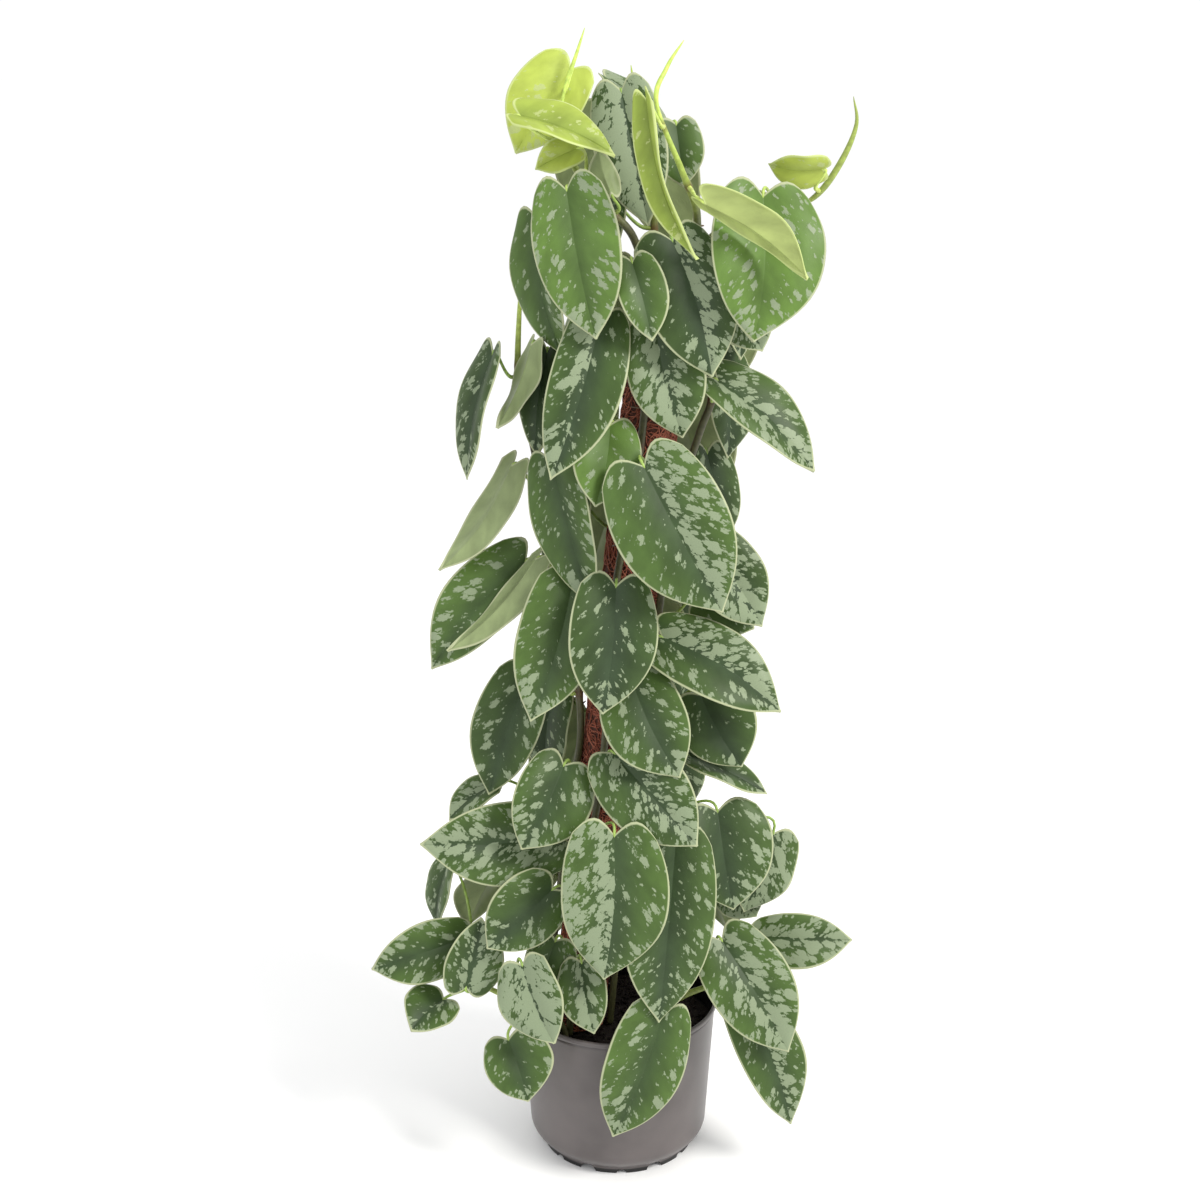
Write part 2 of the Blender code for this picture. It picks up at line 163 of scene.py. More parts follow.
def pot_surface(turns):
    """The closed pot profile turned round Z. The skirt under the floor is lifted by half-ellipses of the
    angle: a wide one between the pairs of feet and a small one between the two feet of each pair. What is
    lifted keeps its distance from the slope of the wall."""
    top, lip, under = POT_HEIGHT, POT_HEIGHT - LIP_HEIGHT, POT_FLOOR - POT_WALL
    profile = np.array([
        # lip, from inside over its top to the undercut
        (pot_wall(top) - POT_WALL, top - 1.2), (pot_wall(top) - POT_WALL + 0.5, top - 0.2),
        (RIM_RADIUS - 1.2, top), (RIM_RADIUS - 0.3, top - 0.4), (RIM_RADIUS, top - 1.2),
        (RIM_RADIUS - 0.1, lip + 0.6), (RIM_RADIUS - 0.5, lip), (pot_wall(lip) - 1.1, lip - 0.1),
        (pot_wall(lip) - 1.1, lip - 1.5), (pot_wall(lip - 2) - 0.1, lip - 2.3),
        # wall, rounded corner and outside of the feet
        *[(pot_wall(z), z) for z in np.r_[np.linspace(lip - 4, 32, 8), 26:6:9j, 4, 2, 0.8]],
        # under the feet, up inside them, under the floor and round the pad
        (FOOT_RING[1], 0.2), (FOOT_RING[1] - 0.5, 0.0), (FOOT_RING[0] + 0.4, 0.0), (FOOT_RING[0], 0.5),
        (pot_wall(4.0) - 2.8, 4.0), (pot_wall(under) - 2.2, under),
        (PAD_RADIUS + 1.0, under), (PAD_RADIUS, under - 0.8),
        (PAD_RADIUS - 0.4, 0.6), (PAD_RADIUS - 1.2, 0.0), (0.4, 0.0),
        # floor and inside of the wall
        (0.4, POT_FLOOR), (pot_wall(POT_FLOOR) - 4.0, POT_FLOOR),
        (pot_wall(POT_FLOOR) - POT_WALL - 0.6, POT_FLOOR + 0.8),
        *[(pot_wall(z) - POT_WALL, z) for z in np.r_[12, 15, 18, 22, 27, np.linspace(34, top - 5, 8)]],
    ])
    angle = 2 * np.pi * np.arange(turns) / turns
    radius = np.broadcast_to(profile[:, 0][None, :], (turns, len(profile)))
    height = np.broadcast_to(profile[:, 1][None, :], (turns, len(profile))).copy()
    skirt = np.clip(1 - height / POT_FLOOR, 0, 1) * (radius > FOOT_RING[0] - 0.7)
    pitch = 360 / FOOT_PAIRS
    for start, (half_angle, rise) in ((pitch / 2, FOOT_ARCH), (0, FOOT_NOTCH)):
        off = (np.degrees(angle) - FOOT_PAIR_AT - start + pitch / 2) % pitch - pitch / 2
        height += rise * np.sqrt(np.clip(1 - (off / half_angle) ** 2, 0, 1))[:, None] * skirt
    radius = radius + pot_wall(height) - pot_wall(profile[:, 1])
    return np.stack([radius * np.cos(angle)[:, None], radius * np.sin(angle)[:, None], height], -1)


def polypropylene():
    """Moulded polypropylene: half-matt warm grey outside, black inside, with a faint cloudiness. A black band
    round the foot of the feet is painted shade where the pot meets the floor. Its soft gloss draws one tall
    highlight on the side of the light."""
    finish, tree = new_finish("taupe_polypropylene_moulded", IOR=1.49, Roughness=0.34)
    place = add(tree, "ShaderNodeTexCoord", out="Object")
    cloud = add(tree, "ShaderNodeTexNoise", {"Vector": place, "Scale": 22.0, "Detail": 4.0})
    colour = add(tree, "ShaderNodeValToRGB", {0: cloud},
                 stops=[(0.3, "#514B4A"), (0.5, "#595352"), (0.7, "#5F5857")])
    height = add(tree, "ShaderNodeSeparateXYZ", {0: place}, out="Z")
    level = add(tree, "ShaderNodeVectorMath", {0: place, 1: (1, 1, 0)}, operation="MULTIPLY")
    radius = add(tree, "ShaderNodeVectorMath", {0: level}, out="Value", operation="LENGTH")
    slope = (RIM_RADIUS - LIP - WALL_FOOT_RADIUS) / POT_HEIGHT
    corner = add(tree, "ShaderNodeMapRange",
                 {"Value": height, 1: FOOT_HEIGHT * MM, 2: CORNER_TOP * MM, 3: 1, 4: 0})
    corner = add(tree, "ShaderNodeMath", {0: corner, 1: 2}, operation="POWER")
    depth = add(tree, "ShaderNodeMath", {0: height, 1: slope, 2: (WALL_FOOT_RADIUS - 1.2) * MM},
                operation="MULTIPLY_ADD")
    depth = add(tree, "ShaderNodeMath", {0: corner, 1: -CORNER_INSET * MM, 2: depth},
                operation="MULTIPLY_ADD")
    outside = add(tree, "ShaderNodeMath", {0: radius, 1: depth}, operation="GREATER_THAN")
    # Painted shade: low on the outer wall the colour turns black, as the contact shadow round the foot of the
    # feet.
    above = add(tree, "ShaderNodeMapRange",
                {"Value": height, 1: FOOT_SHADE_BAND[0] * MM, 2: FOOT_SHADE_BAND[1] * MM})
    outside = add(tree, "ShaderNodeMath", {0: outside, 1: above}, operation="MULTIPLY")
    colour = add(tree, "ShaderNodeMix", {0: outside, 6: linear("#100F0F"), 7: colour}, out=2,
                 data_type="RGBA")
    grain = add(tree, "ShaderNodeTexNoise", {"Vector": place, "Scale": 900.0, "Detail": 2.0})
    return dressed(finish, colour, grain, 0.08, 0.0004)


def drilled(obj, radius, height, count, circle):
    """Cuts count round holes on a circle through the floor, and leaves the result as obj's mesh."""
    bm = bmesh.new()
    for angle in 2 * np.pi * np.arange(count) / count:
        made = bmesh.ops.create_cone(bm, cap_ends=True, segments=32, radius1=radius * MM,
                                     radius2=radius * MM, depth=height * MM)
        at = (np.cos(angle) * circle * MM, np.sin(angle) * circle * MM, 0)
        bmesh.ops.translate(bm, vec=at, verts=made["verts"])
    mesh = bpy.data.meshes.new("drill")
    bm.to_mesh(mesh)
    bm.free()
    drill = bpy.data.objects.new("drill", mesh)
    bpy.context.scene.collection.objects.link(drill)
    cut = obj.modifiers.new("drain", "BOOLEAN")
    cut.object = drill
    cut.solver = "EXACT"
    graph = bpy.context.evaluated_depsgraph_get()
    obj.data = bpy.data.meshes.new_from_object(obj.evaluated_get(graph))
    obj.modifiers.clear()
    bpy.data.objects.remove(drill)


pot_points = pot_surface(POT_TURNS)
ring = pot_points.shape[1]
pot_faces = grid_faces(ring, POT_TURNS, True)[:, ::-1]
around = grid_faces(ring + 1, POT_TURNS, True)[-POT_TURNS:, ::-1] % (ring * POT_TURNS)
pot = make_piece("nursery_pot_shell", pot_points.transpose(1, 0, 2).reshape(-1, 3), [pot_faces, around],
                 [polypropylene()], "pot_plastic", ["nursery_pot"])
drilled(pot, DRAIN_RADIUS, DRILL_LENGTH, DRAIN_HOLES, DRAIN_CIRCLE)
pot.data.shade_smooth()
pot.data.set_sharp_from_angle(angle=np.radians(50))


# Potting soil. The real one is dark peat compost, pressed in by hand to about 25 mm under the rim. Its
# top is lumpy, with loose crumbs, and it holds the stake and the roots.
SOIL_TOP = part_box("potting_soil")[1].z / MM
SOIL_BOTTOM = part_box("potting_soil")[0].z / MM
SOIL_RINGS = 60
SOIL_TURNS = 120
SOIL_CRUMBS = 900
CRUMB_SIZE = (0.7, 2.6)


def soil_surface(rings, turns):
    """A disc whose height is SOIL_TOP less 1.5 mm, plus waves in x and y of up to 1 mm and up to 0.5 mm.
    It then runs down the pot's inside wall and closes over the bottom."""
    share = np.linspace(0.004, 1, rings)[:, None]
    angle = 2 * np.pi * np.arange(turns)[None, :] / turns
    radius = share * (pot_wall(SOIL_TOP) - POT_WALL - 0.2)
    x, y = radius * np.cos(angle), radius * np.sin(angle)
    lumps = np.sin(x / 5.1 + 2 * np.sin(y / 7.3)) * np.cos(y / 4.4 + np.sin(x / 6.1))
    fine = np.sin(x / 1.7 + 3 * np.sin(y / 2.9)) * np.sin(y / 1.9 + 2 * np.sin(x / 3.1))
    top = np.stack([x, y, SOIL_TOP - 1.5 + lumps + 0.5 * fine], -1)
    heights = np.linspace(SOIL_TOP - 3, SOIL_BOTTOM + 2, 8)[:, None]
    wall = pot_wall(heights) - POT_WALL - 0.3
    side = np.stack([wall * np.cos(angle), wall * np.sin(angle), heights + 0 * angle], -1)
    under = np.linspace(0.97, 0.004, 5)[:, None] * wall[-1]
    floor = np.stack([under * np.cos(angle), under * np.sin(angle), SOIL_BOTTOM + 0 * under * angle], -1)
    return np.concatenate([top, side, floor])


def crumbs(count, reach, height, size, rng):
    """Octahedra with uneven corners, strewn over a disc: each corner stands off by a random share."""
    corners = np.array([(1, 0, 0), (-1, 0, 0), (0, 1, 0), (0, -1, 0), (0, 0, 1), (0, 0, -1)], float)
    sides = np.array([(0, 2, 4), (2, 1, 4), (1, 3, 4), (3, 0, 4),
                      (2, 0, 5), (1, 2, 5), (3, 1, 5), (0, 3, 5)])
    shape = corners[None] * rng.uniform(0.6, 1.2, (count, 6, 1)) + rng.uniform(-0.2, 0.2, (count, 6, 3))
    shape *= rng.uniform(*size, (count, 1, 1))
    angle, radius = rng.uniform(0, 2 * np.pi, count), reach * np.sqrt(rng.uniform(0, 1, count))
    middle = np.stack([radius * np.cos(angle), radius * np.sin(angle), np.full(count, height)], -1)
    faces = sides[None] + 6 * np.arange(count)[:, None, None]
    return (shape + middle[:, None]).reshape(-1, 3), faces.reshape(-1, 3)


def peat():
    """Peat compost: nearly black, dull brown crumbs with a few lighter fibres, fully matt."""
    finish, tree = new_finish("peat_compost_loose", Roughness=0.95, IOR=1.4)
    place = add(tree, "ShaderNodeTexCoord", out="Object")
    clump = add(tree, "ShaderNodeTexNoise",
                {"Vector": place, "Scale": 420.0, "Detail": 6.0, "Roughness": 0.7})
    colour = add(tree, "ShaderNodeValToRGB", {0: clump},
                 stops=[(0.3, "#0E0A08"), (0.55, "#1D1410"), (0.72, "#3A2A20")])
    return dressed(finish, colour, clump, 0.9, 0.0015)


soil_points = soil_surface(SOIL_RINGS, SOIL_TURNS)
soil_faces = grid_faces(len(soil_points), SOIL_TURNS, True)
last_ring = (len(soil_points) - 1) * SOIL_TURNS + np.arange(SOIL_TURNS)
crumb_points, crumb_faces = crumbs(SOIL_CRUMBS, pot_wall(SOIL_TOP) - 8, SOIL_TOP - 0.6, CRUMB_SIZE,
                                   np.random.default_rng(3))
crumb_faces = crumb_faces + soil_points.shape[0] * SOIL_TURNS
make_piece("potting_soil_bed", np.vstack([soil_points.reshape(-1, 3), crumb_points]),
           [soil_faces, np.arange(SOIL_TURNS)[None, ::-1], last_ring[None], crumb_faces],
           [peat()], "potting_soil", ["potting_soil"])


# Pole stake. The real one is a round softwood stick pushed down through the soil. Only its sawn end shows
# above the coir that is wrapped round it.
STAKE_RADIUS = 10.0
POLE_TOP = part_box("pole_stake")[1].z / MM
STAKE_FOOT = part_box("pole_stake")[0].z / MM
POLE_FOOT_X = -50.66
POLE_LEAN = 0.11
STAKE_SIDES = 40


def pole_x(z):
    """Middle of the leaning pole at height z: a straight line."""
    return POLE_FOOT_X + POLE_LEAN * z


def tubes(paths, radii, sides):
    """Closed round tubes along many paths at once: paths (tube, point, 3), radii (tube, point). A ring
    stands square to the path at each point, turned as little as possible, and both ends close flat."""
    count, length = paths.shape[:2]
    run = np.gradient(paths, axis=1)
    run /= np.linalg.norm(run, axis=2, keepdims=True) + 1e-9
    side = np.empty_like(paths)
    start = np.where(np.abs(run[:, 0, 2:3]) > 0.8, [[1.0, 0.0, 0.0]], [[0.0, 0.0, 1.0]])
    side[:, 0] = start
    for k in range(length):
        before = side[:, max(k - 1, 0)]
        flat = before - run[:, k] * np.sum(before * run[:, k], axis=1, keepdims=True)
        side[:, k] = flat / (np.linalg.norm(flat, axis=1, keepdims=True) + 1e-9)
    up = np.cross(run, side)
    angle = 2 * np.pi * np.arange(sides) / sides
    ring = side[:, :, None] * np.cos(angle)[:, None] + up[:, :, None] * np.sin(angle)[:, None]
    points = (paths[:, :, None] + ring * radii[:, :, None, None]).reshape(-1, 3)
    step = length * sides
    quads = grid_faces(length, sides, True)[None] + step * np.arange(count)[:, None, None]
    first = np.arange(sides)[None, ::-1] + step * np.arange(count)[:, None]
    last = np.arange(sides)[None] + step * np.arange(count)[:, None] + step - sides
    return points, [quads.reshape(-1, 4), first, last]


def softwood():
    """Sawn softwood: pale straw with fine brown grain along the stick and a dry, matt face."""
    finish, tree = new_finish("softwood_sawn", Roughness=0.8, IOR=1.5)
    place = add(tree, "ShaderNodeTexCoord", out="Object")
    stretched = add(tree, "ShaderNodeVectorMath", {0: place, 1: (900, 900, 30)}, operation="MULTIPLY")
    grain = add(tree, "ShaderNodeTexNoise", {"Vector": stretched, "Scale": 1.0, "Detail": 4.0})
    colour = add(tree, "ShaderNodeValToRGB", {0: grain},
                 stops=[(0.35, "#8A6440"), (0.6, "#B98F5F"), (0.8, "#C9A678")])
    return dressed(finish, colour, grain, 0.5, 0.0004)


stake_z = np.r_[STAKE_FOOT, np.linspace(STAKE_FOOT + 2, POLE_TOP - 2, 24), POLE_TOP - 0.6, POLE_TOP]
stake_path = np.stack([pole_x(stake_z), 0 * stake_z, stake_z], -1)[None]
stake_radius = STAKE_RADIUS - np.r_[1.0, np.zeros(24), 0.3, 1.1][None]
make_piece("pole_stake_stick", *tubes(stake_path, stake_radius, STAKE_SIDES), [softwood()],
           "stake_wood", ["pole_stake"])


# Coir wrap. The real one is a mat of coconut fibre, red-brown and springy, rolled round the stake. Its
# fibres run every way, with dark gaps between them, and stand a little off the surface.
COIR_RADIUS = 25.0
COIR_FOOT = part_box("coir_wrap")[0].z / MM
COIR_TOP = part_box("coir_wrap")[1].z / MM
CORE_ROWS = 220
CORE_TURNS = 72
FIBRES = 3600
FIBRE_RADIUS = (0.35, 0.75)
FIBRE_LENGTH = (16.0, 44.0)
FIBRE_POINTS = 8


def coir_core(rows, turns):
    """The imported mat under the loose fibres: a leaning cylinder whose radius wavers by 0.6 mm."""
    angle, z = np.meshgrid(2 * np.pi * np.arange(turns) / turns, np.linspace(COIR_FOOT, COIR_TOP, rows))
    waver = 0.6 * np.sin(z / 3.1 + 5 * np.sin(3 * angle)) * np.cos(7 * angle + z / 5.3)
    radius = COIR_RADIUS - 1.8 + waver
    outer = np.stack([pole_x(z) + radius * np.cos(angle), radius * np.sin(angle), z], -1)
    bore = STAKE_RADIUS + 0.3
    inner = np.stack([pole_x(z) + bore * np.cos(angle), bore * np.sin(angle), z], -1)
    return np.concatenate([outer, inner[::-1]])


def fibre_paths(count, rng):
    """Each fibre winds over the mat from a random place in a random direction, bends steadily and
    waves. It lies 0.1 to 1.3 mm off the mat at its ends, and up to 0.9 mm more in the middle."""
    t = np.linspace(0, 1, FIBRE_POINTS)[None, :]
    length = rng.uniform(*FIBRE_LENGTH, (count, 1))
    heading = rng.uniform(0, 2 * np.pi, (count, 1)) + rng.uniform(-2.2, 2.2, (count, 1)) * t
    turns = t * rng.uniform(0.6, 1.6, (count, 1)) + rng.uniform(0, 1, (count, 1))
    heading = heading + 0.5 * np.sin(2 * np.pi * turns)
    step = length / (FIBRE_POINTS - 1)
    along = np.cumsum(np.cos(heading) * step, axis=1)
    rise = np.cumsum(np.sin(heading) * step, axis=1)
    z = np.clip(rng.uniform(COIR_FOOT, COIR_TOP, (count, 1)) + rise, COIR_FOOT + 0.8, COIR_TOP + 0.6)
    lift = COIR_RADIUS - 1.7 + rng.uniform(0, 1.2, (count, 1))
    lift = lift + rng.uniform(0, 0.9, (count, 1)) * np.sin(np.pi * t)
    angle = rng.uniform(0, 2 * np.pi, (count, 1)) + along / COIR_RADIUS
    return np.stack([pole_x(z) + lift * np.cos(angle), lift * np.sin(angle), z], -1)


def coconut_fibre():
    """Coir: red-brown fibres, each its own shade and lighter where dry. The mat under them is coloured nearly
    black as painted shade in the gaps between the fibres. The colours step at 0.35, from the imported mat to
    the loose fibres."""
    finish, tree = new_finish("coconut_fibre_matted", Roughness=0.85, IOR=1.5)
    shade = add(tree, "ShaderNodeAttribute", out="Fac", attribute_name="shade")
    place = add(tree, "ShaderNodeTexCoord", out="Object")
    mottle = add(tree, "ShaderNodeTexNoise",
                 {"Vector": place, "Scale": 700.0, "Detail": 4.0, "Roughness": 0.7})
    mixed = add(tree, "ShaderNodeMath", {0: mottle, 1: 0.3, 2: shade}, operation="MULTIPLY_ADD")
    # The lowest stop is the painted shade of the gaps, which only the mat reaches.
    colour = add(tree, "ShaderNodeValToRGB", {0: mixed},
                 stops=[(0.1, "#35140C"), (0.35, "#784B3B"), (0.35, "#853F2E"), (0.62, "#A8614B")])
    return dressed(finish, colour, mottle, 0.8, 0.0006)


coir_rng = np.random.default_rng(11)
core = coir_core(CORE_ROWS, CORE_TURNS)
core_faces = grid_faces(len(core), CORE_TURNS, True)
first_row = np.arange(CORE_TURNS)
last_row = first_row + (len(core) - 1) * CORE_TURNS
core_seam = np.stack([last_row, np.roll(last_row, -1), np.roll(first_row, -1), first_row], -1)
fibres = fibre_paths(FIBRES, coir_rng)
thick = np.repeat(coir_rng.uniform(*FIBRE_RADIUS, (FIBRES, 1)), FIBRE_POINTS, 1)
taper = np.sin(np.linspace(0.5, np.pi - 0.5, FIBRE_POINTS)) ** 0.5
fibre_points, fibre_faces = tubes(fibres, thick * taper, 3)
fibre_shade = np.repeat(coir_rng.uniform(0.25, 0.85, FIBRES), FIBRE_POINTS * 3)
core_points = core.reshape(-1, 3)
make_piece(
    "coir_wrap_fibres", np.vstack([core_points, fibre_points]),
    [core_faces, core_seam] + [group + len(core_points) for group in fibre_faces],
    [coconut_fibre()], "coir_fibre", ["coir_wrap"],
    # Painted shade: the mat under the fibres gets 0.02, the dark end of the colours, as the shadow in the
    # gaps.
    {"shade": np.r_[np.full(len(core_points), 0.02), fibre_shade]},
)


# Vines. The real ones are round green-brown stems about 6 mm thick. They climb the coir and hold to it
# with short roots at their nodes. Their free ends are yellow-green and end in a rolled new leaf.
# Each vine: degrees round the pole from the front, height where it leaves the pole, and the points of its
# free end. Each rolled leaf: its length, about twice its thickest radius, and how young its green is.
VINE_RADIUS = 3.2
ROOT_RADIUS = 0.8
ROOT_EVERY = 13
VINE_SIDES = 14
ROOT_SIDES = 7
PATH_STEP = 3.0
VINES = {
    "vine_front": (
        -18,
        790,
        [(10, -34, 835), (-16, -38, 862), (-34, -30, 885), (-45, -27, 908), (-48, -22, 930),
         (-44, -19, 952), (-36, -14, 975), (-29, -10, 996)],
    ),
    "vine_left": (
        -78,
        470,
        [(-46, -10, 540), (-62, 0, 600), (-74, 6, 660), (-85, 4, 710), (-84, 4, 770), (-78, 8, 835)],
    ),
    "vine_right": (
        70,
        640,
        [(66, -12, 672), (76, -14, 705), (68, -16, 742), (66, -14, 790), (62, -20, 835),
         (58, -48, 862), (46, -70, 890), (26, -74, 940), (34, -66, 966), (47, -60, 986)],
    ),
    "vine_back": (
        165,
        760,
        [(66, 26, 815), (92, 14, 842), (126, -4, 850), (155, -18, 866), (174, -22, 892),
         (186, -22, 922), (183, -22, 944)],
    ),
    "vine_crown": (-150, 790, [(28, 30, 842), (18, 26, 895), (12, 24, 940), (8, 22, 968)]),
}
SHOOTS = {
    "shoot_left": [(-48, -44, 118.7), (-50, -45, 132), (-58, -52, 150), (-76, -56, 164), (-100, -56, 172),
                   (-124, -50, 182), (-142, -38, 198), (-150, -24, 222)],
    "shoot_right": [(22, -34, 118.7), (23, -34, 132), (36, -42, 150), (60, -46, 168), (88, -42, 178),
                    (112, -32, 190), (128, -18, 206)],
}
ROLLED_LEAF = {
    "vine_front": (58, 2.9, 1.0),
    "vine_right": (62, 3.4, 1.0),
    "vine_back": (96, 5.0, 0.45),
    "vine_crown": (40, 3.2, 0.8),
    "vine_left": (46, 3.2, 0.7),
    "shoot_left": (30, 3.0, 0.7),
    "shoot_right": (20, 3.0, 0.7),
}


def smooth_path(points, spacing):
    """Catmull-Rom curve through the points, read at equal steps of its length."""
    points = np.asarray(points, float)
    padded = np.vstack([2 * points[0] - points[1], points, 2 * points[-1] - points[-2]])
    a, b, c, d = (padded[k:len(padded) - 3 + k, None] for k in range(4))
    t = np.linspace(0, 1, 24, endpoint=False)[None, :, None]
    square, cube = 2 * a - 5 * b + 4 * c - d, 3 * b - a - 3 * c + d
    dense = 0.5 * (2 * b + (c - a) * t + square * t**2 + cube * t**3)
    dense = np.vstack([dense.reshape(-1, 3), points[-1:]])
    run = np.r_[0, np.cumsum(np.linalg.norm(np.diff(dense, axis=0), axis=1))]
    want = np.linspace(0, run[-1], int(run[-1] / spacing) + 1)
    return np.column_stack([np.interp(want, run, dense[:, k]) for k in range(3)])


def climbing_points(angle, top):
    """Points of a vine that climbs the pole, weaving a little from side to side."""
    radius = COIR_RADIUS + VINE_RADIUS + 2.5
    heights = np.arange(SOIL_TOP + 0.6, top, 60.0)
    weave = np.radians(angle + 7 * np.sin(heights / 48.0))
    return [(pole_x(z) + radius * np.sin(a), -radius * np.cos(a), z) for z, a in zip(heights, weave)]


vine_paths = {
    name: smooth_path(climbing_points(angle, top) + end, PATH_STEP)
    for name, (angle, top, end) in VINES.items()
}
vine_paths.update({name: smooth_path(points, PATH_STEP) for name, points in SHOOTS.items()})


# Leaves. The real ones are thick, satin-skinned hearts, each grown as one piece with its stalk, whose
# foot clasps the vine. Silver blotches follow the side veins, and a thin pale line runs round the margin.
# Each row: vine, base of the blade, tip, width, turn about its own midrib, silver on its left and right
# half as seen with the tip down, how bright green it is, and how sharply it is folded. Small leaves have
# the same rows without a name, and those as bright as YOUNG_BRIGHT have the young skin.
LEAVES = {
    "leaf_crown_01": ("vine_front", (-40, 2, 965), (-85, -12, 900), 60, -10, 0.3, 0.3, 1.0, 0.2),
    "leaf_crown_02": ("vine_front", (-80, -50, 930), (-5, -56, 900), 44, 50, 0.32, 0.36, 0.4, 0.5),
    "leaf_crown_03": ("vine_front", (-43, -62, 875), (-20, -78, 760), 70, -8, 0.48, 0.46, 0.75, 0.2),
    "leaf_crown_04": ("vine_back", (110, -60, 870), (103, -92, 760), 92, 12, 0.44, 0.46, 0.92, 0.16),
    "leaf_crown_05": ("vine_right", (62, -108, 868), (142, -112, 812), 42, 130, 0.3, 0.3, 0.9, 0.4),
    "leaf_crown_06": ("vine_right", (20, -98, 940), (57, -100, 824), 26, -45, 0.36, 0.3, 0.1, 0.85),
    "leaf_crown_07": ("vine_right", (40, -52, 835), (72, -78, 730), 74, 0, 0.36, 0.6, 0.12, 0.16),
    "leaf_crown_08": ("vine_crown", (0, 6, 948), (22, -20, 843), 60, -5, 0.9, 0.86, 0.1, 0.16),
    "leaf_crown_09": ("vine_crown", (45, 25, 922), (52, 15, 872), 44, 10, 0.35, 0.5, 0.5, 0.16),
    "leaf_upper_01": ("vine_left", (-67, -24, 850), (-48, -42, 742), 60, -45, 0.25, 0.45, 0.5, 0.2),
    "leaf_upper_02": ("vine_left", (-105, -15, 740), (-128, -25, 635), 50, -62, 0.5, 0.48, 0.15, 0.16),
    "leaf_upper_03": ("vine_front", (-17, -55, 772), (-57, -84, 648), 61, -8, 0.56, 0.4, 0.2, 0.16),
    "leaf_upper_04": ("vine_right", (27, -50, 767), (50, -62, 678), 64, 5, 0.62, 0.6, 0.25, 0.16),
    "leaf_upper_05": ("vine_right", (78, -40, 722), (158, -60, 650), 56, 40, 0.55, 0.52, 0.3, 0.16),
    "leaf_upper_06": ("vine_front", (-9, -54, 688), (-21, -83, 626), 57, 4, 0.38, 0.38, 0.85, 0.16),
    "leaf_upper_07": ("vine_right", (18, -84, 660), (82, -110, 545), 94, 5, 0.4, 0.6, 0.35, 0.12),
    "leaf_upper_08": ("vine_left", (-90, -14, 646), (-152, -38, 560), 44, 130, 0.3, 0.3, 0.4, 0.2),
    "leaf_upper_09": ("vine_left", (-56, -46, 655), (-25, -73, 541), 62, -34, 0.44, 0.46, 0.35, 0.16),
    "leaf_middle_01": ("vine_left", (-80, -10, 562), (-162, -30, 470), 62, -15, 0.5, 0.45, 0.5, 0.16),
    "leaf_middle_02": ("vine_left", (-70, -34, 570), (-145, -58, 495), 36, 125, 0.3, 0.3, 0.5, 0.3),
    "leaf_middle_03": ("vine_front", (-40, -54, 553), (-75, -92, 445), 68, -12, 0.46, 0.48, 0.42, 0.16),
    "leaf_middle_04": ("vine_front", (-4, -79, 559), (-15, -99, 454), 74, 5, 0.4, 0.46, 0.08, 0.2),
    "leaf_middle_05": ("vine_right", (68, -28, 585), (120, -45, 513), 62, 15, 0.7, 0.6, 0.15, 0.16),
    "leaf_middle_06": ("vine_right", (35, -48, 505), (135, -76, 448), 66, 32, 0.5, 0.7, 0.2, 0.16),
    "leaf_middle_07": ("vine_front", (10, -58, 470), (50, -92, 395), 72, 0, 0.48, 0.44, 0.3, 0.16),
    "leaf_middle_08": ("vine_left", (-80, -18, 460), (-114, -40, 358), 62, -20, 0.44, 0.42, 0.2, 0.16),
    "leaf_middle_09": ("vine_right", (70, -22, 445), (106, -42, 385), 68, 12, 0.35, 0.3, 0.2, 0.16),
    "leaf_lower_01": ("vine_left", (-48, -54, 392), (-84, -88, 328), 68, -5, 0.5, 0.44, 0.3, 0.16),
    "leaf_lower_02": ("vine_front", (-5, -62, 406), (65, -104, 338), 74, 8, 0.52, 0.54, 0.25, 0.16),
    "leaf_lower_03": ("vine_left", (-52, -36, 318), (-172, -70, 325), 74, -20, 0.62, 0.52, 0.3, 0.16),
    "leaf_lower_04": ("vine_front", (-5, -100, 347), (-14, -112, 218), 92, -5, 0.7, 0.42, 0.35, 0.12),
    "leaf_lower_05": ("vine_right", (48, -68, 325), (34, -104, 172), 82, 8, 0.38, 0.46, 0.25, 0.16),
    "leaf_lower_06": ("vine_right", (86, -32, 340), (100, -60, 258), 86, 16, 0.42, 0.48, 0.2, 0.16),
    "leaf_lower_07": ("vine_front", (-58, -68, 282), (-115, -88, 235), 62, -8, 0.48, 0.44, 0.25, 0.16),
    "leaf_skirt_01": ("shoot_right", (128, -22, 212), (210, -30, 214), 50, 26, 0.6, 0.7, 0.35, 0.16),
    "leaf_skirt_02": ("shoot_right", (90, -62, 230), (148, -98, 140), 74, 12, 0.54, 0.6, 0.35, 0.16),
    "leaf_skirt_03": ("shoot_right", (110, -60, 165), (154, -82, 58), 58, 18, 0.42, 0.52, 0.3, 0.16),
    "leaf_skirt_04": ("shoot_right", (38, -95, 178), (-6, -111, 64), 70, 0, 0.5, 0.46, 0.42, 0.16),
    "leaf_skirt_05": ("shoot_left", (-84, -92, 222), (-56, -118, 160), 60, -12, 0.95, 0.9, 0.2, 0.16),
    "leaf_skirt_06": ("shoot_left", (-138, -40, 221), (-219, -62, 201), 54, -12, 0.5, 0.5, 0.35, 0.16),
    "leaf_skirt_07": ("shoot_left", (-135, -74, 190), (-120, -70, 256), 52, -10, 0.56, 0.52, 0.2, 0.16),
    "leaf_skirt_08": ("shoot_left", (-156, -58, 170), (-182, -92, 158), 48, -45, 0.5, 0.52, 0.3, 0.16),
    "leaf_skirt_09": ("shoot_left", (-98, -80, 143), (-80, -106, 96), 62, 0, 0.44, 0.46, 0.4, 0.16),
}
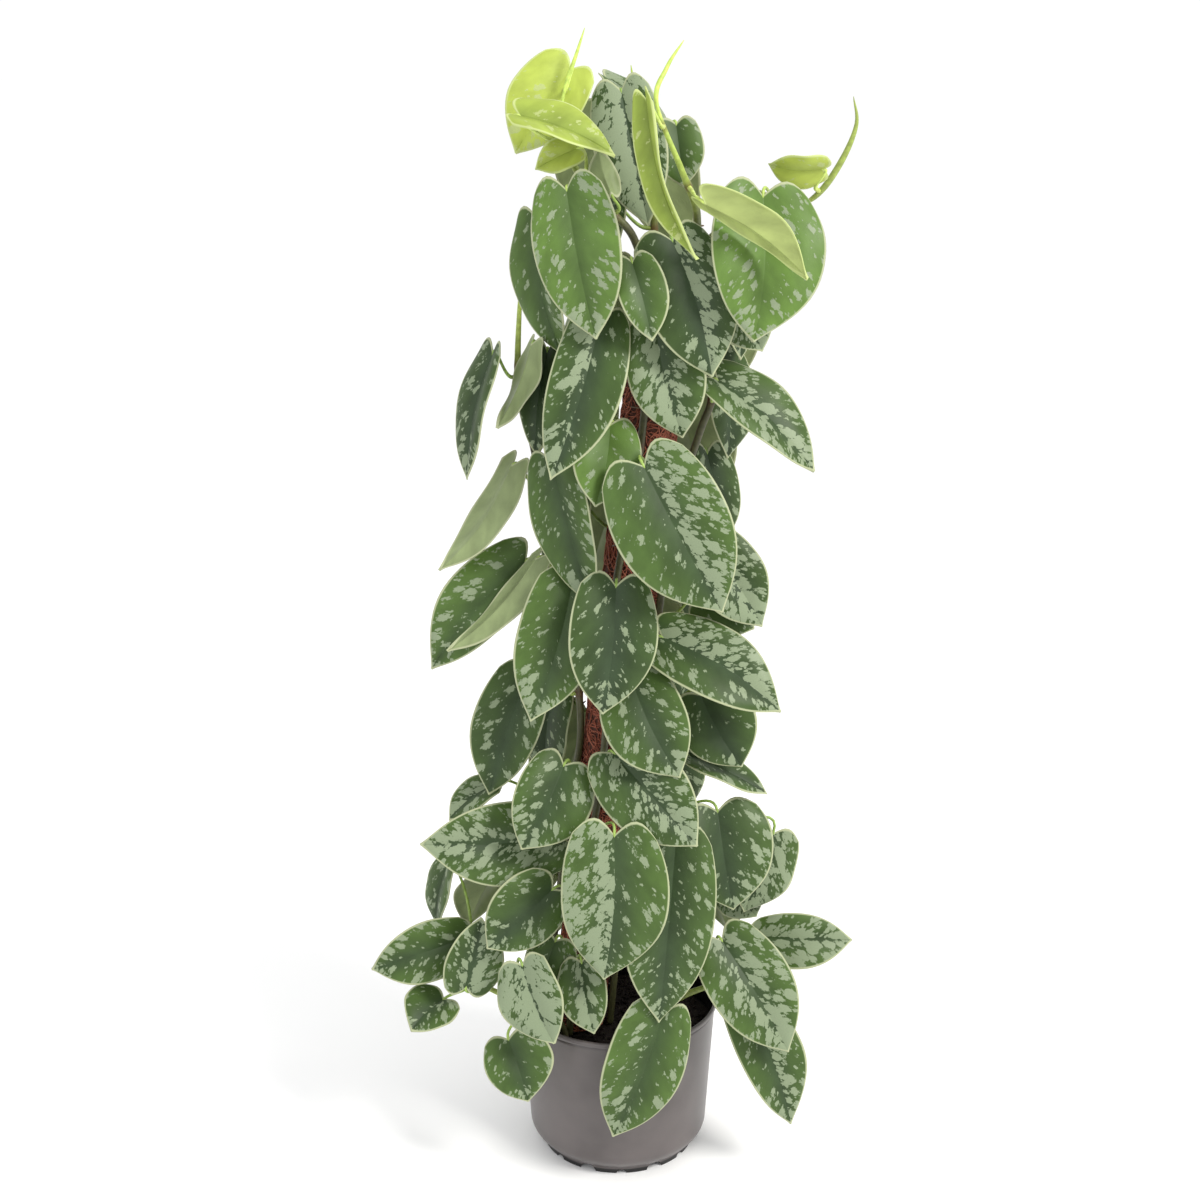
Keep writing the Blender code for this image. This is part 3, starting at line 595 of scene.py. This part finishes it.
SMALL_LEAVES = [
    ("vine_front", (-34, -40, 905), (-68, -44, 889), 28, -20, 0.3, 0.3, 0.9, 0.3),
    ("vine_front", (-8, -46, 870), (-19, -46, 905), 24, 165, 0.4, 0.4, 0.3, 0.3),
    ("vine_crown", (-12, 47, 956), (44, 42, 908), 42, 75, 0.6, 0.6, 0.4, 0.3),
    ("vine_back", (160, -34, 889), (116, -34, 893), 36, 40, 0.3, 0.3, 0.9, 0.2),
    ("vine_front", (8, -68, 820), (24, -86, 760), 40, 5, 0.5, 0.5, 0.5, 0.16),
    ("vine_right", (90, -30, 785), (115, -38, 745), 44, 15, 0.6, 0.6, 0.3, 0.16),
    ("vine_left", (-72, -30, 750), (-101, -42, 682), 42, 115, 0.35, 0.35, 0.2, 0.2),
    ("vine_left", (-60, -14, 742), (-70, -22, 655), 40, -30, 0.3, 0.3, 0.1, 0.2),
    ("vine_right", (70, -15, 530), (115, -25, 505), 52, 10, 0.35, 0.35, 0.5, 0.16),
    ("vine_right", (60, -16, 386), (130, -28, 354), 40, 70, 0.5, 0.5, 0.3, 0.2),
    ("vine_left", (-110, -20, 360), (-150, -30, 330), 36, -60, 0.6, 0.5, 0.3, 0.16),
    ("vine_right", (138, -8, 308), (112, -24, 238), 60, 15, 0.66, 0.66, 0.2, 0.16),
    ("vine_right", (98, 4, 262), (126, 0, 222), 50, 15, 0.7, 0.6, 0.2, 0.16),
    ("vine_front", (-56, -66, 232), (-74, -80, 188), 46, 0, 0.5, 0.5, 0.5, 0.16),
    ("vine_front", (-33, -76, 216), (-22, -98, 158), 44, 0, 0.6, 0.56, 0.3, 0.16),
    ("shoot_left", (-155, -5, 275), (-165, -15, 220), 46, -60, 0.5, 0.5, 0.3, 0.16),
    ("vine_crown", (30, 48, 905), (45, 68, 815), 64, 170, 0.5, 0.5, 0.3, 0.16),
    ("vine_crown", (-15, 45, 930), (-40, 62, 850), 56, 195, 0.5, 0.4, 0.3, 0.16),
    ("vine_back", (106, 36, 858), (130, 46, 786), 54, 150, 0.4, 0.5, 0.4, 0.16),
    ("vine_back", (-2, 86, 208), (12, 96, 136), 60, 172, 0.4, 0.5, 0.4, 0.16),
    ("vine_crown", (-60, 82, 210), (-82, 94, 140), 56, 200, 0.6, 0.5, 0.3, 0.16),
    ("vine_back", (74, 46, 246), (106, 68, 172), 58, 140, 0.4, 0.5, 0.3, 0.16),
    ("vine_crown", (-108, 40, 255), (-142, 54, 185), 56, -140, 0.5, 0.5, 0.3, 0.16),
]
YOUNG_BRIGHT = 0.9
YOUNG = ("leaf_crown_01", "leaf_crown_02", "leaf_crown_05", "leaf_crown_06")
REAR_HEIGHTS = np.linspace(300.0, 800.0, 6)
INNER_HEIGHTS = np.linspace(225.0, 860.0, 16)
ROWS = 33
HALF_COLUMNS = 12
BLADE_THICKNESS = 0.9
VEIN_SLANT = 0.7
STALK_RISE = 22.0
STALK_SIDES = 10
FIRST_REAR = 50
FIRST_SMALL = 60


def unit(vector):
    """The vector at length 1."""
    return vector / np.linalg.norm(vector)


def leaf_axes(base, tip, turn):
    """Length, width and upper-face directions of a blade. Turn 0 shows the upper face to the front."""
    along = unit(tip - base)
    front = np.array([0.0, -1.0, 0.0])
    facing = unit(front - along * (front @ along))
    angle = np.radians(turn)
    normal = facing * np.cos(angle) + np.cross(facing, along) * np.sin(angle)
    return along, np.cross(along, normal), normal


def half_width(s):
    """Half-width of the blade as a part of its greatest: round shoulders, drawn-out tip."""
    t = np.clip((s - 0.35) / 0.65, 0, 1)
    below = 1 - 0.22 * (np.clip(0.35 - s, 0, 1) / 0.35) ** 2
    return np.where(s < 0.35, below, (1 - t**2.4) * (1 - 0.5 * t**10))


def blade(length, width, fold, rng):
    """Heart-shaped blade as functions of s, stalk to tip, and v, margin to margin. The lobes reach back
    by 0.11 of the length. The halves rise from the midrib by the fold, bulge, and roll down at the margin.
    The whole arches by 0.055 of its length and twists a little. The margin waves, the midrib swings."""
    s = 0.997 * (1 - np.cos(np.pi * np.linspace(0, 1, ROWS)))[:, None] / 2
    half = (1 - np.cos(np.pi * np.linspace(0, 1, HALF_COLUMNS + 1))) / 2
    v = np.r_[-half[:0:-1], half][None, :]
    skew, swing, phase = rng.uniform(-0.09, 0.09), rng.uniform(-0.045, 0.045), rng.uniform(0, 6.28, 2)
    wave, twist = rng.uniform(0.6, 2.0), rng.uniform(-0.12, 0.12)
    across = half_width(s) * width / 2 * (v + skew * v * v)
    lobe = 0.11 * np.sin(np.pi * np.abs(v)) * (1 - s) ** 2.5
    along = length * (s - lobe)
    rise = 0.055 * length * np.sin(np.pi * s) + fold * (np.abs(across) - 0.12 * width * v**4)
    waves = 2 * np.pi * 1.7 * s + np.where(v > 0, phase[0], phase[1])
    rise = rise + wave * np.abs(v) ** 3 * np.sin(waves)
    rise = rise + 0.03 * width * np.sin(np.pi * np.abs(v)) * np.sin(np.pi * s) + twist * across * s
    across = across + swing * length * np.sin(np.pi * s)
    return s + 0 * v, v + 0 * s, across, along, rise


def shell_of(surface, thickness, ridge):
    """Upper and lower skins of an open grid surface, set off by half the thickness along its normals.
    They share their edge points, so the shell is closed. ridge thickens the lower skin at the midrib."""
    rows, columns = surface.shape[:2]
    normal = np.cross(np.gradient(surface, axis=1), np.gradient(surface, axis=0))
    normal /= np.linalg.norm(normal, axis=2, keepdims=True)
    inner = np.zeros((rows, columns), bool)
    inner[1:-1, 1:-1] = True
    offset = (thickness / 2 * inner)[..., None]
    upper = (surface + normal * offset).reshape(-1, 3)
    lower = (surface - normal * (offset + (ridge * inner)[..., None]))[inner]
    number = np.arange(rows * columns).reshape(rows, columns)
    under = number.copy()
    under[inner] = rows * columns + np.arange(inner.sum())
    top_faces = grid_faces(rows, columns)
    return np.vstack([upper, lower]), top_faces, under.ravel()[top_faces][:, ::-1], inner


def stalk_path(base, along, vine_path, rise):
    """Stalk from inside the blade's base, up and over in a bow, down into the side of the vine."""
    wanted = base - np.array([0, 0, rise])
    near = int(np.argmin(np.linalg.norm(vine_path[3:-8] - wanted, axis=1))) + 3
    node = vine_path[near]
    run = unit(vine_path[near + 1] - vine_path[near - 1])
    out = base - node
    out = unit(out - run * (out @ run))
    foot = node + out * (VINE_RADIUS - 1.2)
    landing = foot + out * 4.0
    reach = np.linalg.norm(base - landing)
    b0, b1, b2, b3 = base, base - along * 0.35 * reach, landing + out * 0.35 * reach, landing
    t = np.linspace(0, 1, 16)[:, None]
    bow = b0 * (1 - t) ** 3 + 3 * b1 * t * (1 - t) ** 2 + 3 * b2 * t**2 * (1 - t) + b3 * t**3
    return np.vstack([base + along * 5.0, bow, foot, node]), near


def satin_leaf(name, deep, lively, sheen, silver, rim, under):
    """Leaf skin: a thick, satin-matt cuticle. Air under the skin makes silver blotches 1 to 8 mm across,
    which merge where they are many; a band along the midrib is plain of silver, and the margin is pale. A
    grey tint along the midrib and over the darker leaves is painted sheen, standing in for the satin gloss."""
    finish, tree = new_finish(name, Roughness=0.42, IOR=1.42, Specular_IOR_Level=0.28)
    value = {key: add(tree, "ShaderNodeAttribute", out="Fac", attribute_name=key)
             for key in ("silver", "bright", "grey", "margin", "upper")}
    place = add(tree, "ShaderNodeUVMap", uv_map="pattern")
    warp = add(tree, "ShaderNodeTexNoise", {"Vector": place, "Scale": 2.6, "Detail": 3.0}, out="Color")
    warp = add(tree, "ShaderNodeVectorMath", {0: warp, 1: (0.5, 0.5, 0.5)}, operation="SUBTRACT")
    warped = add(tree, "ShaderNodeVectorMath", {0: warp, 1: (0.5, 0.5, 0.0), 2: place},
                 operation="MULTIPLY_ADD")
    ragged = add(tree, "ShaderNodeTexNoise",
                 {"Vector": place, "Scale": 4.2, "Detail": 3.0, "Roughness": 0.65})
    silvered = 0.0
    for size, gain, start in ((1.0, 0.8, -0.75), (2.1, 0.7, -0.83)):
        spots = add(tree, "ShaderNodeTexVoronoi", {"Vector": warped, "Scale": size}).node
        chance = add(tree, "ShaderNodeSeparateColor", {0: spots.outputs["Color"]})
        reach = add(tree, "ShaderNodeMath", {0: value["silver"], 1: gain, 2: start},
                    operation="MULTIPLY_ADD")
        reach = add(tree, "ShaderNodeMath", {0: chance, 1: 0.5, 2: reach}, operation="MULTIPLY_ADD")
        reach = add(tree, "ShaderNodeMath", {0: ragged, 1: 0.8, 2: reach}, operation="MULTIPLY_ADD")
        depth = add(tree, "ShaderNodeMath", {0: reach, 1: spots.outputs["Distance"]}, operation="SUBTRACT")
        spot = add(tree, "ShaderNodeMapRange", {"Value": depth, 1: -0.03, 2: 0.06},
                   interpolation_type="SMOOTHSTEP")
        silvered = add(tree, "ShaderNodeMath", {0: spot, 1: silvered}, operation="MAXIMUM")
    cloud = add(tree, "ShaderNodeTexNoise", {"Vector": place, "Scale": 0.55, "Detail": 3.0})
    fleck = add(tree, "ShaderNodeTexNoise", {"Vector": place, "Scale": 14.0, "Detail": 3.0})
    # Painted sheen: the grey attribute mixes in a grey tint that stands in for the satin gloss.
    green = linear(deep)
    for part, tint in (("bright", lively), ("grey", sheen)):
        green = add(tree, "ShaderNodeMix", {0: value[part], 6: green, 7: linear(tint)}, out=2,
                    data_type="RGBA")
    tone = add(tree, "ShaderNodeMapRange", {"Value": cloud, 1: 0.3, 2: 0.7, 3: 0.82, 4: 1.15})
    green = add(tree, "ShaderNodeVectorMath", {0: green, "Scale": tone}, operation="SCALE")
    pale = add(tree, "ShaderNodeMapRange", {"Value": fleck, 1: 0.3, 2: 0.7, 3: 0.86, 4: 1.06})
    pale = add(tree, "ShaderNodeVectorMath", {0: linear(silver)[:3], "Scale": pale}, operation="SCALE")
    face = add(tree, "ShaderNodeMix", {0: silvered, 6: green, 7: pale}, out=2, data_type="RGBA")
    back = add(tree, "ShaderNodeVectorMath", {0: linear(under)[:3], "Scale": tone}, operation="SCALE")
    skin = add(tree, "ShaderNodeMix", {0: value["upper"], 6: back, 7: face}, out=2, data_type="RGBA")
    edge = add(tree, "ShaderNodeMapRange", {"Value": value["margin"], 1: 2.0, 2: 1.1})
    colour = add(tree, "ShaderNodeMix", {0: edge, 6: skin, 7: linear(rim)}, out=2, data_type="RGBA")
    relief = add(tree, "ShaderNodeMath", {0: fleck, 1: 0.35, 2: silvered}, operation="MULTIPLY_ADD")
    relief = add(tree, "ShaderNodeMath", {0: cloud, 1: 1.5, 2: relief}, operation="MULTIPLY_ADD")
    return dressed(finish, colour, relief, 0.25, 0.0008)


def green_stem(name, old, young, scar):
    """Stem skin: smooth and half-glossy, olive where old and yellow-green where young, faintly mottled,
    with brown scars at the nodes."""
    finish, tree = new_finish(name, Roughness=0.45, IOR=1.45)
    youth = add(tree, "ShaderNodeAttribute", out="Fac", attribute_name="youth")
    worn = add(tree, "ShaderNodeAttribute", out="Fac", attribute_name="worn")
    place = add(tree, "ShaderNodeTexCoord", out="Object")
    mottle = add(tree, "ShaderNodeTexNoise", {"Vector": place, "Scale": 260.0, "Detail": 4.0})
    tone = add(tree, "ShaderNodeMapRange", {"Value": mottle, 1: 0.3, 2: 0.7, 3: 0.75, 4: 1.2})
    colour = add(tree, "ShaderNodeMix", {0: youth, 6: linear(old), 7: linear(young)}, out=2, data_type="RGBA")
    colour = add(tree, "ShaderNodeMix", {0: worn, 6: colour, 7: linear(scar)}, out=2, data_type="RGBA")
    colour = add(tree, "ShaderNodeVectorMath", {0: colour, "Scale": tone}, operation="SCALE")
    return dressed(finish, colour, mottle, 0.3, 0.0004)


# The third colour of each skin is the grey tint of painted sheen.
mature_skin = satin_leaf("satin_leaf_mature", "#212F18", "#587433", "#36462F",
                         "#808D70", "#A3A986", "#818E63")
young_skin = satin_leaf("satin_leaf_young", "#7C9139", "#A2B14D", "#86964A",
                        "#A9B572", "#B4C07C", "#9DAA66")
stalk_skin = green_stem("leaf_stalk_green", "#6C8F3F", "#C3D56F", "#8A6A3C")
vine_skin = green_stem("vine_stem_green", "#4A4A2E", "#B5CC5C", "#5A3E24")


def make_leaf(name, number, row, nodes=(), young=False):
    """One blade with its stalk. Returns its vine and the number of the vine's point that the foot of the
    stalk sits on."""
    vine, base, tip, width, turn, left, right, bright, fold = row
    rng = np.random.default_rng(100 + number)
    base, tip = np.array(base, float), np.array(tip, float)
    length = np.linalg.norm(tip - base)
    along, across, normal = leaf_axes(base, tip, turn)
    s, v, x, y, z = blade(length, width, fold, rng)
    surface = base + x[..., None] * across + y[..., None] * along + z[..., None] * normal
    ridge = 0.9 * np.exp(-(x / 1.6) ** 2) * (1 - s)
    points, top, bottom, inner = shell_of(surface, BLADE_THICKNESS, ridge)

    half = half_width(s) * width / 2
    margin = np.minimum((1 - np.abs(v)) * half, s * length * 0.9)
    side = np.where(v > 0, left, right)
    busy = side > 0.5
    near_tip = np.clip((s - 0.6) / 0.4, 0, 1)
    silver = side + 0.4 * near_tip**1.5 + busy * 0.25 * np.exp(-((np.abs(v) - 0.2) / 0.2) ** 2)
    plain = 0.22 * (1 - busy) * np.exp(-(np.abs(v) / 0.24) ** 2) + 0.5 * np.exp(-(x / 1.4) ** 2)
    silver = silver - plain * (1 - 0.7 * near_tip)
    # Painted sheen: grey is strongest along the midrib and on the less bright leaves, a tint for the satin
    # gloss.
    grey = 0.75 * np.exp(-(np.abs(v) / 0.33) ** 2) * (1 - bright) + 0.15 * (1 - bright)
    lively = np.clip(bright + 0.35 * (np.abs(v) - 0.45) + 0.15 * (1 - s), 0, 1)
    slant = y - VEIN_SLANT * np.abs(x)
    pattern = np.stack([(slant + 310.0 * number) / 10, x / 10 + 3.7 * number], -1)
    per_point = {"silver": silver, "grey": grey, "bright": lively, "margin": margin}
    values = {key: np.r_[value.ravel(), value[inner]] for key, value in per_point.items()}
    values["upper"] = np.r_[np.ones(s.size), np.zeros(inner.sum())]
    flat_map = np.vstack([pattern.reshape(-1, 2), pattern[inner]])

    path, near = stalk_path(base, along, vine_paths[vine], STALK_RISE)
    share = np.linspace(0, 1, len(path))
    radius = 1.25 + 0.9 * share**4 - 0.9 * (share == 0)
    stalk, stalk_faces = tubes(path[None], radius[None], STALK_SIDES)
    for key in values:
        values[key] = np.r_[values[key], np.zeros(len(stalk))]
    blade_zeros = np.zeros(len(points))
    values["youth"] = np.r_[blade_zeros, np.full(len(stalk), 0.9 if young else 0.15 + 0.5 * bright)]
    values["worn"] = np.r_[blade_zeros, np.repeat(np.clip(share - 0.75, 0, 1) * 1.2, STALK_SIDES)]
    flat_map = np.vstack([flat_map, np.zeros((len(stalk), 2))])
    blades = [top, bottom]
    stalks = [group + len(points) for group in stalk_faces]
    finish_of = np.r_[np.zeros(sum(map(len, blades))), np.ones(sum(map(len, stalks)))]
    make_piece(name, np.vstack([points, stalk]), blades + stalks,
               [young_skin if young else mature_skin, stalk_skin],
               "leaf_young" if young else "leaf_mature", nodes, values, flat_map, finish_of)
    return vine, near


def rear_row(k, z):
    """The k-th leaf behind the pole, whose base is at height z: alternate sides."""
    side = -1 if k % 2 else 1
    base = (pole_x(z) + side * 21, 56, z)
    return "vine_back", base, (base[0] + side * 30, 74, z - 118), 80, 180 - side * 18, 0.5, 0.45, 0.4, 0.16


def inner_row(k, z):
    """The k-th leaf in the shade beside the pole: alternate sides, from the pot to the crown."""
    side = -1 if k % 2 else 1
    base = (pole_x(z) + side * 54, 26, z)
    vine = "vine_back" if side > 0 else "vine_crown"
    return vine, base, (base[0] + side * 8, 14, z - 88), 56, side * 42, 0.42, 0.4, 0.1, 0.16


def flank_row(k, z):
    """The k-th leaf behind the pole that fills the side which rear_row leaves open at its height."""
    side = 1 if k % 2 else -1
    base = (pole_x(z) + side * 50, 56, z)
    vine = "vine_back" if side > 0 else "vine_crown"
    return vine, base, (base[0] + side * 12, 72, z - 105), 56, 180 - side * 8, 0.45, 0.5, 0.4, 0.16


feet = {name: [] for name in vine_paths}
for number, (name, row) in enumerate(LEAVES.items()):
    vine, near = make_leaf(name + "_blade", number, row, [name], name in YOUNG)
    feet[vine].append(near)
for k, z in enumerate(REAR_HEIGHTS):
    name = f"leaf_rear_{k + 1:02d}"
    vine, near = make_leaf(name + "_blade", FIRST_REAR + k, rear_row(k, z), [name])
    feet[vine].append(near)
inner_rows = [inner_row(k, z) for k, z in enumerate(INNER_HEIGHTS)]
flank_rows = [flank_row(k, z) for k, z in enumerate(REAR_HEIGHTS)]
for k, row in enumerate(SMALL_LEAVES + inner_rows + flank_rows):
    vine, near = make_leaf(f"leaf_small_{k + 1:02d}_blade", FIRST_SMALL + k, row,
                           young=row[7] == YOUNG_BRIGHT)
    feet[vine].append(near)


def make_vine(name, path):
    """A stem whose radius swells at each leaf's foot and narrows towards the tip, where the rolled new
    leaf bulges and ends in a point. Short roots leave it for the pole's line wherever that is near, so
    a few stand free above the coir."""
    run = PATH_STEP * np.arange(len(path))
    left = run[-1] - run
    rolled, bulge, green = ROLLED_LEAF[name]
    nodes = PATH_STEP * np.array(sorted(feet[name]))
    swell = np.exp(-((run[:, None] - nodes[None]) / 4.0) ** 2).sum(1)
    stem = VINE_RADIUS * np.clip(0.5 + (left - rolled) / 160, 0.5, 1) * (1 + 0.16 * np.clip(swell, 0, 1))
    share = np.clip(left / rolled, 0, 1)
    roll = 0.25 + bulge * share**0.8 * (1 - share) ** 0.35
    radius = np.where(left < rolled, np.maximum(roll, VINE_RADIUS * 0.5 * share**3), stem)
    points, faces = tubes(path[None], radius[None], VINE_SIDES)
    youth = np.repeat(green * np.clip(1 - (left - rolled) / 120, 0, 1), VINE_SIDES)
    worn = np.repeat(np.clip(swell, 0, 1) * 0.8 * (left > rolled), VINE_SIDES)

    axis = np.stack([pole_x(path[:, 2]), 0 * run, path[:, 2]], -1)
    inward = axis - path
    near_pole = np.linalg.norm(inward, axis=1) < COIR_RADIUS + 12
    spots = [n for n in range(12, len(path) - 12, ROOT_EVERY) if near_pole[n]]
    if spots:
        rng = np.random.default_rng(len(name) + len(path))
        start = path[spots]
        inwards = inward[spots] / np.linalg.norm(inward[spots], axis=1, keepdims=True)
        sideways = np.cross(inwards, [0.0, 0.0, 1.0]) * rng.choice([-1, 1], (len(spots), 1))
        t = np.linspace(0, 1, 7)[None, :, None]
        drop = rng.uniform(-6, 3, (len(spots), 1, 1)) * t * np.array([0, 0, 1.0])
        roots = start[:, None] + sideways[:, None] * 13 * t**0.8
        roots = roots + inwards[:, None] * (1 + 7.5 * t**1.4) + drop
        thin = ROOT_RADIUS * (1.3 - 0.6 * t[..., 0]) + 0 * roots[..., 0]
        root_points, root_faces = tubes(roots, thin, ROOT_SIDES)
        faces = faces + [group + len(points) for group in root_faces]
        youth = np.r_[youth, np.zeros(len(root_points))]
        worn = np.r_[worn, np.full(len(root_points), 0.9)]
        points = np.vstack([points, root_points])
    make_piece(name + "_stem", points, faces, [vine_skin], "vine_stem", [name],
               {"youth": youth, "worn": worn})


for name, path in vine_paths.items():
    make_vine(name, path)


# Floor, light and camera. A plain pale floor, one large soft light from the upper right, a weak one from
# the left and a pale sky.
def pale_floor():
    """Matt white paint, with the faintest unevenness."""
    finish, tree = new_finish("floor_white_matt", Roughness=0.9)
    place = add(tree, "ShaderNodeTexCoord", out="Object")
    cloud = add(tree, "ShaderNodeTexNoise", {"Vector": place, "Scale": 2.0, "Detail": 2.0})
    colour = add(tree, "ShaderNodeValToRGB", {0: cloud}, stops=[(0.3, "#FBFBFB"), (0.7, "#FDFDFD")])
    tree.links.new(colour, tree.nodes["Principled BSDF"].inputs["Base Color"])
    return finish


floor_mesh = bpy.data.meshes.new("floor")
floor_mesh.from_pydata([(-60, -20, 0), (60, -20, 0), (60, 200, 0), (-60, 200, 0)], [], [(0, 1, 2, 3)])
floor_mesh.materials.append(pale_floor())
floor = bpy.data.objects.new("floor", floor_mesh)
bpy.context.scene.collection.objects.link(floor)


def soft_light(name, place, target, size, power, colour):
    """A round area light that faces its target."""
    light = bpy.data.lights.new(name, "AREA")
    light.shape = "DISK"
    light.size = size
    light.energy = power
    light.color = linear(colour)[:3]
    obj = bpy.data.objects.new(name, light)
    obj.location = place
    bpy.context.scene.collection.objects.link(obj)
    aim = Vector(target) - Vector(place)
    obj.rotation_euler = aim.to_track_quat("-Z", "Y").to_euler()


soft_light("key_light", (1.7, -1.6, 2.4), (0, 0, 0.5), 0.9, 70, "#FFFDF8")
soft_light("fill_light", (-1.9, -2.0, 1.2), (0, 0, 0.5), 1.6, 8, "#F4F8FF")

world = bpy.data.worlds.new("pale_sky")
world.use_nodes = True
world.node_tree.nodes["Background"].inputs["Color"].default_value = (1, 1, 1, 1)
world.node_tree.nodes["Background"].inputs["Strength"].default_value = 1.04
bpy.context.scene.world = world
bpy.context.scene.view_settings.view_transform = "Standard"

camera = bpy.data.objects.new("camera", bpy.data.cameras.new("camera"))
camera.location = (-0.017, -1.5, 0.965)
camera.rotation_euler = (np.radians(90 - 16.4), 0, 0)
camera.data.lens = 54.15
camera.data.sensor_width = 36
bpy.context.scene.collection.objects.link(camera)
bpy.context.scene.camera = camera
